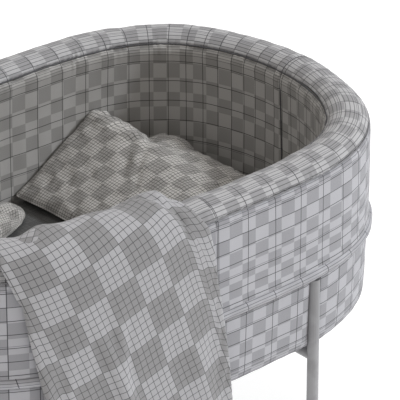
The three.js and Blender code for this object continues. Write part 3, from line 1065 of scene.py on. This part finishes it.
def add_pillows():
    """The large pillow, which slopes up from the left to a ridge and folds down behind it, and the
    small one at its left."""
    large = add_pillow(
        "large_pillow", "pillow_large",
        [
            (0.092, 0.331, 0.477), (0.150, 0.329, 0.512), (0.210, 0.326, 0.554), (0.268, 0.322, 0.594),
            (0.297, 0.318, 0.620), (0.313, 0.310, 0.606), (0.345, 0.300, 0.560), (0.385, 0.290, 0.524),
            (0.424, 0.238, 0.492), (0.450, 0.186, 0.478), (0.472, 0.140, 0.476), (0.490, 0.100, 0.476),
        ],
        [
            (0.088, 0.110, 0.478), (0.148, 0.112, 0.504), (0.208, 0.110, 0.534), (0.266, 0.106, 0.564),
            (0.299, 0.100, 0.574), (0.320, 0.094, 0.571), (0.350, 0.090, 0.560), (0.388, 0.086, 0.552),
            (0.424, 0.078, 0.528), (0.455, 0.050, 0.496), (0.481, 0.018, 0.485), (0.500, -0.008, 0.480),
        ],
        [
            (0.094, -0.110, 0.476), (0.150, -0.118, 0.490), (0.210, -0.124, 0.504), (0.262, -0.130, 0.514),
            (0.304, -0.134, 0.520), (0.334, -0.138, 0.520), (0.358, -0.140, 0.516), (0.390, -0.140, 0.514),
            (0.430, -0.136, 0.512), (0.468, -0.128, 0.502), (0.498, -0.116, 0.490), (0.516, -0.104, 0.478),
        ],
        0.017, 0.085, 81,
        creases=[
            ([(0.294, 0.172), (0.259, 0.146), (0.228, 0.124)], 0.0075, 0.011),
            ([(0.312, 0.150), (0.270, 0.115), (0.225, 0.078)], 0.0050, 0.007),
            ([(0.330, 0.168), (0.358, 0.190), (0.372, 0.240)], 0.0130, 0.016),
            ([(0.335, 0.135), (0.380, 0.120), (0.425, 0.125)], 0.0050, 0.008),
            ([(0.440, 0.150), (0.452, 0.110), (0.450, 0.060)], 0.0070, 0.009),
            ([(0.403, 0.214), (0.411, 0.160)], -0.0180, 0.022),
        ],
    )
    small = add_pillow(
        "small_pillow", "pillow_small",
        [(-0.262, 0.322, 0.480), (-0.190, 0.326, 0.486), (-0.120, 0.328, 0.488), (-0.045, 0.327, 0.487),
         (0.044, 0.320, 0.482)],
        [(-0.272, 0.200, 0.482), (-0.190, 0.214, 0.492), (-0.120, 0.228, 0.494), (-0.045, 0.242, 0.492),
         (0.052, 0.262, 0.480)],
        [(-0.280, 0.092, 0.478), (-0.205, 0.118, 0.484), (-0.135, 0.146, 0.486), (-0.070, 0.176, 0.484),
         (-0.004, 0.208, 0.484)],
        0.012, 0.014, 82, columns=48,
        creases=[([(-0.060, 0.300), (-0.010, 0.262), (0.020, 0.236)], 0.0080, 0.014)],
    )
    finish_pillow(*large, cap=0.008, pressure=3.0)
    finish_pillow(*small, cap=0.006, pressure=2.0)


# ---- The blanket --------------------------------------------------------------------------------

BLANKET_THICK = 0.0030
BLANKET_ACROSS_LEAN = math.radians(16.5)  # of its threads across, from level
BLANKET_DOWN_LEAN = math.radians(19.0)  # of its threads down, from upright
BLANKET_ACROSS = 0.505  # between the hems as it lies, with its folds
BLANKET_DOWN = 0.800
BLANKET_FOLD_R = 0.0036  # of the bend where a side is turned under

# The corner of a check that's seen in the picture: its place on the cloth, and on the wall, as s and
# the distance over the rim from its crest.
ANCHOR_ACROSS = 0.166
ANCHOR_DOWN = 0.266
ANCHOR_S = 2.095
ANCHOR_P = 0.111

# Where the blanket's visible sides are turned under: [distance over the rim from its crest, s].
BLANKET_LEFT = [
    (-0.20, 1.975), (0.030, 1.990), (0.075, 2.004), (0.100, 2.014), (0.135, 2.025), (0.150, 2.034),
    (0.205, 2.041), (0.240, 2.046), (0.335, 2.062), (0.500, 2.085), (0.70, 2.112),
]
BLANKET_RIGHT = [
    (-0.25, 2.375), (-0.10, 2.386), (-0.030, 2.396), (0.020, 2.406), (0.060, 2.421), (0.085, 2.434),
    (0.110, 2.439), (0.140, 2.446), (0.175, 2.451), (0.210, 2.454), (0.250, 2.461), (0.310, 2.470),
    (0.410, 2.483), (0.500, 2.490),
]


def blanket_paths():
    """Lines of [u, z] over the rim, from the inner hem to far below the outer one: one that lies
    close to the rim, and one that stands off it."""
    close = [
        [-0.0640, 0.400], [-0.0640, 0.640], [-0.0620, 0.734], [-0.0560, 0.7640], [-0.0380, 0.7850],
        [0.0000, 0.7930], [0.0330, 0.7840], [0.0540, 0.7620], [0.0610, 0.734], [0.0640, 0.640],
        [0.0665, 0.520], [0.0680, 0.400], [0.0690, 0.050],
    ]
    loose = [
        [-0.0860, 0.400], [-0.0870, 0.640], [-0.0860, 0.734], [-0.0800, 0.7660], [-0.0600, 0.8010],
        [-0.0270, 0.8160], [0.0120, 0.8110], [0.0420, 0.7890], [0.0590, 0.744], [0.0640, 0.640],
        [0.0680, 0.520], [0.0710, 0.400], [0.0730, 0.050],
    ]
    return smooth_line(close), smooth_line(loose)


def along_path(path, distance):
    """The path's points at distances from its crest, positive outwards."""
    run = run_along(path)
    crest = run[np.argmax(path[:, 1])]
    wanted = distance + crest
    return np.interp(wanted, run, path[:, 0]), np.interp(wanted, run, path[:, 1])


def turn_under(beyond):
    """Where cloth lies that is carried this far past a fold: how far past it, and how deep below."""
    bend = math.pi * BLANKET_FOLD_R
    turned = np.clip(beyond, 0, bend) / BLANKET_FOLD_R
    past = np.where(beyond < bend, BLANKET_FOLD_R * np.sin(turned), -(beyond - bend))
    return np.where(beyond > 0, past, beyond), BLANKET_FOLD_R * (1 - np.cos(turned))


def blanket_folds(across, from_right, p):
    """How far the hanging folds stand out from the drop, which stands off more towards its right."""
    hanging = smooth_step(p, 0.08, 0.45)
    folds = 0.004 * smooth_step(from_right, 0.0, 0.075) * (1 - smooth_step(from_right, 0.075, 0.38))
    folds = folds + 0.017 * hanging * pinch(across - 0.190, 0.020)
    folds = folds - 0.005 * hanging * pinch(across - 0.240, 0.028)
    folds = folds + (0.002 + 0.007 * hanging) * pinch(across - 0.360, 0.036)
    folds = folds + 0.005 * hanging * pinch(across - 0.080, 0.035)
    return folds * smooth_step(p, 0.0, 0.08)


def add_blanket():
    """The blanket over the front rim: a rectangle of cloth, turned on the wall, with the sides of
    its drop turned under."""
    rows, columns = 150, 190
    across, down = np.meshgrid(
        np.linspace(0, BLANKET_ACROSS, rows), np.linspace(0, BLANKET_DOWN, columns), indexing="ij"
    )
    along, drop = across - ANCHOR_ACROSS, down - ANCHOR_DOWN
    s = ANCHOR_S + along * math.cos(BLANKET_ACROSS_LEAN) + drop * math.sin(BLANKET_DOWN_LEAN)
    p = ANCHOR_P + drop * math.cos(BLANKET_DOWN_LEAN) - along * math.sin(BLANKET_ACROSS_LEAN)
    left = np.interp(p, *np.array(BLANKET_LEFT).T)
    right = np.interp(p, *np.array(BLANKET_RIGHT).T)
    past_right, deep_right = turn_under(s - right)
    past_left, deep_left = turn_under(left - s)
    rightwards = s > (left + right) / 2
    s = np.where(rightwards, right + past_right, left - past_left)
    deep = np.where(rightwards, deep_right, deep_left)
    close, loose = blanket_paths()
    close_u, close_z = along_path(close, p)
    loose_u, loose_z = along_path(loose, p)
    from_right = right - s
    rise = 0.10 - 0.072 * pinch(p + 0.015, 0.045)
    loft = smooth_step(from_right / rise, 0.0, 1.0) * (1 - 0.35 * smooth_step(from_right, 0.15, 0.40))
    u = close_u + (loose_u - close_u) * loft
    z = close_z + (loose_z - close_z) * loft
    u = u + blanket_folds(across, from_right, p)
    top = pinch(p + 0.02, 0.06)
    z = z + top * (0.004 * np.sin(across * 26 + 1.0) + 0.002 * np.sin(across * 61 + 0.4))
    z = z + 0.011 * pinch(s - 2.085, 0.032) * pinch(p + 0.03, 0.06)
    z = z - 0.006 * pinch(across - 0.430 - 0.25 * (down - 0.20), 0.010) * smooth_step(p, -0.08, 0.0)
    u = u - 0.007 * pinch(s - 2.378, 0.009) * pinch(p - 0.065, 0.045)
    slope = np.arctan2(np.gradient(z, axis=1), np.gradient(u, axis=1))
    u = u + deep * np.sin(slope)
    z = z - deep * np.abs(np.cos(slope))
    points = wall_point(s, u, z)
    faces, _, _ = grid(rows, columns)
    skin = make_piece("blanket_skin", points, faces)
    held = smooth_step(np.abs(p), 0.20, 0.05)
    turned = np.maximum(smooth_step(deep, 0.0, 0.003), held)
    let_settle(skin, 14, 0.008, gravity=0.5, pins=turned.ravel() * 0.95, stiff=12.0, bending=0.8)
    middle = read_points(skin.data).reshape(rows, columns, 3)
    bpy.data.objects.remove(skin)
    normal = unit(np.cross(np.gradient(middle, axis=1), np.gradient(middle, axis=0)))
    x = arc_place(middle, 0)
    y = arc_place(middle, 1)
    hem = np.minimum(np.minimum(x, x[-1:] - x), np.minimum(y, y[:, -1:] - y))
    rounding = np.sqrt(np.clip(hem / 0.002, 0.25, 1))
    half = BLANKET_THICK / 2 * (1 + 0.35 * smooth_step(hem, 0.012, 0.010)) * rounding
    outer = middle + normal * half[..., None]
    inner = middle - normal * half[..., None]
    count = rows * columns
    loop = border_loop(rows, columns)
    anchor_row = np.argmin(np.abs(across[:, 0] - ANCHOR_ACROSS))
    anchor_column = np.argmin(np.abs(down[0] - ANCHOR_DOWN))
    flat = np.stack([x - x[anchor_row][None], y - y[:, anchor_column][:, None]], axis=-1).reshape(-1, 2)
    hem_faces = [[here, after, after + count, here + count] for here, after in zip(loop, loop[1:] + loop[:1])]
    all_faces = np.vstack([faces[:, ::-1], faces + count, hem_faces])
    blanket = make_piece(
        "draped_blanket", np.stack([outer, inner]), all_faces, flat[all_faces % count],
        body="blanket", material=blanket_cloth, slot="blanket_fabric", node="blanket",
    )
    fix_facing(blanket)


# ---- Floor, light and camera --------------------------------------------------------------------


def add_stage():
    """A plain white floor that runs out to white."""
    reach = 30.0
    corners = np.array([(-reach, -reach, 0), (reach, -reach, 0), (reach, reach, 0), (-reach, reach, 0)])
    floor = make_piece("floor", corners, [[0, 1, 2, 3]])
    material, _, shader = new_material("white_floor", 0.9, specular=0.0)
    feed((0.60, 0.60, 0.60), shader.inputs["Base Color"])
    feed((1.0, 1.0, 1.0), shader.inputs["Emission Color"])
    feed(0.56, shader.inputs["Emission Strength"])
    floor.data.materials.append(material)


def add_sun(name, towards, energy, colour, degrees):
    data = bpy.data.lights.new(name, "SUN")
    data.energy = energy
    data.color = colour
    data.angle = math.radians(degrees)
    sun = add_object(name, data)
    sun.rotation_euler = Vector(towards).to_track_quat("Z", "Y").to_euler()


def add_lights():
    """A white room, and a broad, soft light from the right."""
    world = bpy.data.worlds.new("studio")
    world.use_nodes = True
    background = world.node_tree.nodes["Background"]
    feed((1.0, 0.95, 0.885), background.inputs["Color"])
    feed(0.43, background.inputs["Strength"])
    bpy.context.scene.world = world
    add_sun("key", (0.595, -0.500, 0.629), 1.82, (0.93, 0.965, 1.0), 9)
    add_sun("top", (0.10, 0.0, 1.0), 0.62, (1.0, 1.0, 1.0), 25)
    add_sun("right", (0.866, 0.0, 0.5), 0.55, (0.95, 0.97, 1.0), 40)
    add_sun("fill", (-0.766, 0.0, 0.643), 0.20, (1.0, 0.99, 0.98), 60)


def add_camera():
    """The camera: a long lens, 27 degrees down, from the front and left."""
    data = bpy.data.cameras.new("camera")
    data.lens = 332
    data.sensor_width = 36
    data.clip_end = 100
    camera = add_object("camera", data)
    heading = math.radians(41.38)
    pitch = math.radians(27.42)
    level = Vector((math.sin(heading), math.cos(heading), 0))
    forward = level * math.cos(pitch) - Vector((0, 0, math.sin(pitch)))
    right = Vector((math.cos(heading), -math.sin(heading), 0))
    turn = Matrix((right, right.cross(forward), -forward)).transposed()
    camera.matrix_world = Matrix.Translation((-4.3157, -5.2746, 4.1616)) @ turn.to_4x4()
    bpy.context.scene.camera = camera


add_camera()
dress_frame()
add_rim()
add_upper_panel()
add_lower_panel()
add_band()
add_liner()
add_bottom_lining()
add_rim_pipings()
add_end_seams()
add_wall_stitching()
add_mattress()
add_pillows()
add_blanket()
add_stage()
add_lights()
bpy.context.scene.view_settings.view_transform = "Standard"
